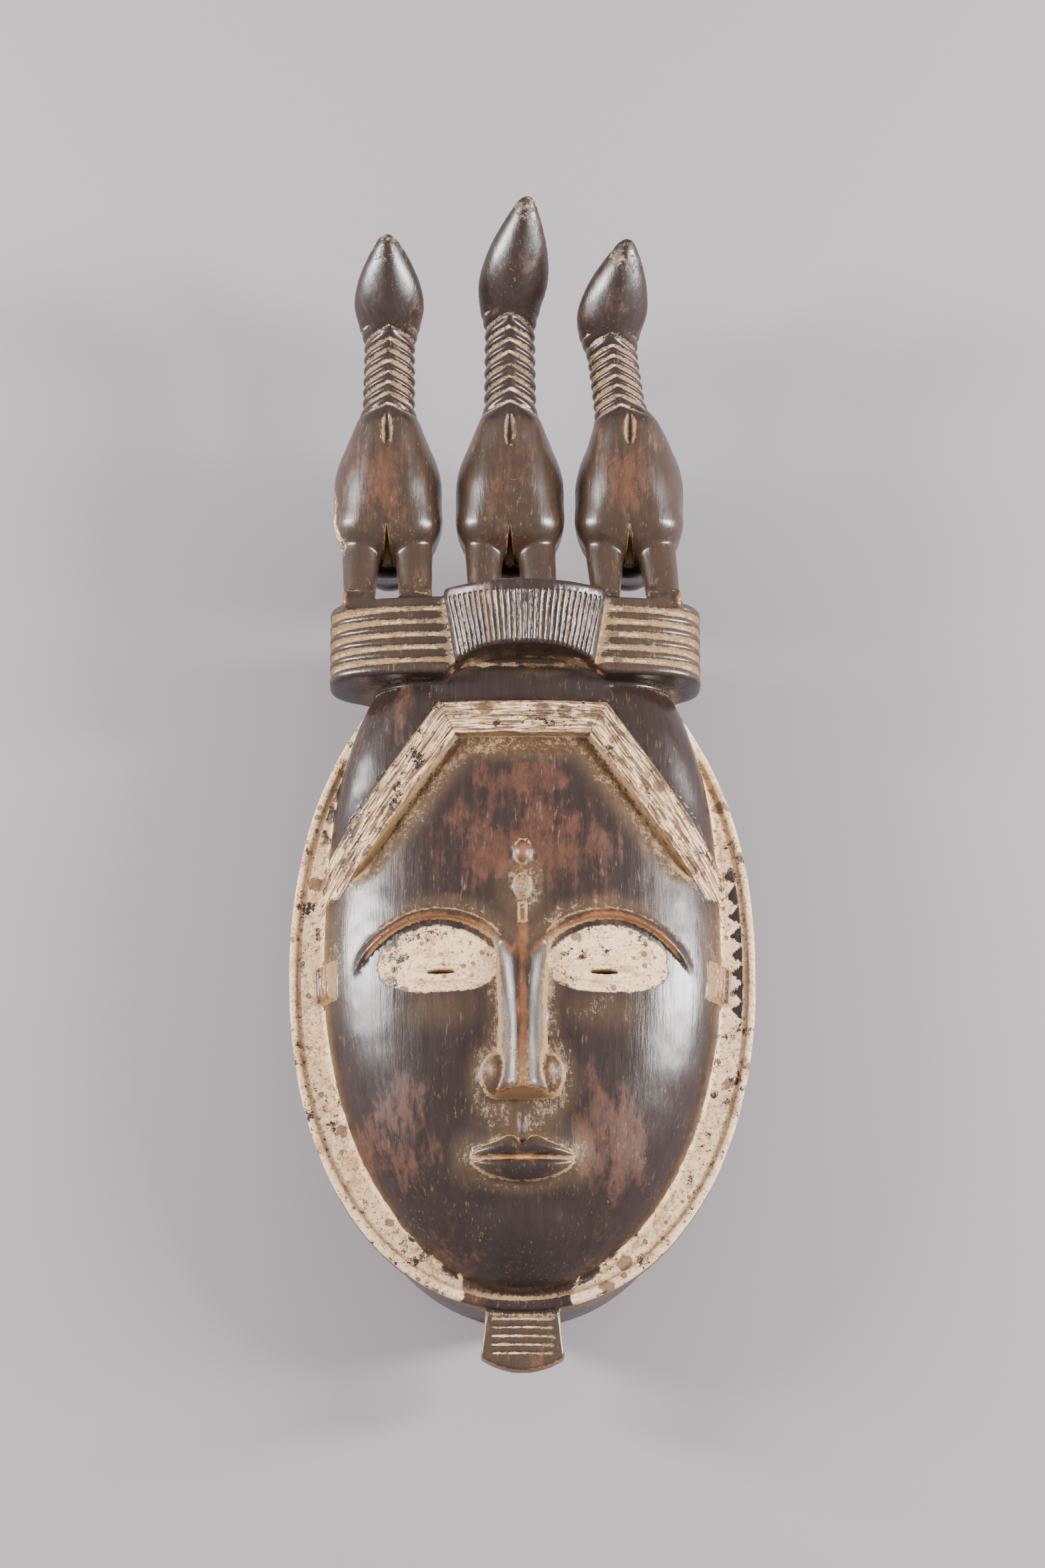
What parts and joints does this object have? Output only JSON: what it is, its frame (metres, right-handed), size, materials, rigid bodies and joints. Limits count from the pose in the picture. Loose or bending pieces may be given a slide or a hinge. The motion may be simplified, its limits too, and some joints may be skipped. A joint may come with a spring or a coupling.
{
  "type": "yaure mask",
  "caption": "Carved wooden face mask with a hollow back, a flat whitened collar, a grooved hair band and crest, and long-necked birds standing on the crest.",
  "frame": {"origin": "on the flat back rim under the chin, in the plane that the mask lies on", "axes": "+X to the viewer's right across the face, +Y from the chin to the birds, +Z out of the flat back, the way the face looks"},
  "size_m": [0.189, 0.4737, 0.1126],
  "materials": {
    "wood": "dark oiled wood, satin, with worn brown ridges and whitened collar, hair band and eye areas"
  },
  "bodies": {
    "root": {"mask": "wood"}
  },
  "joints": []
}
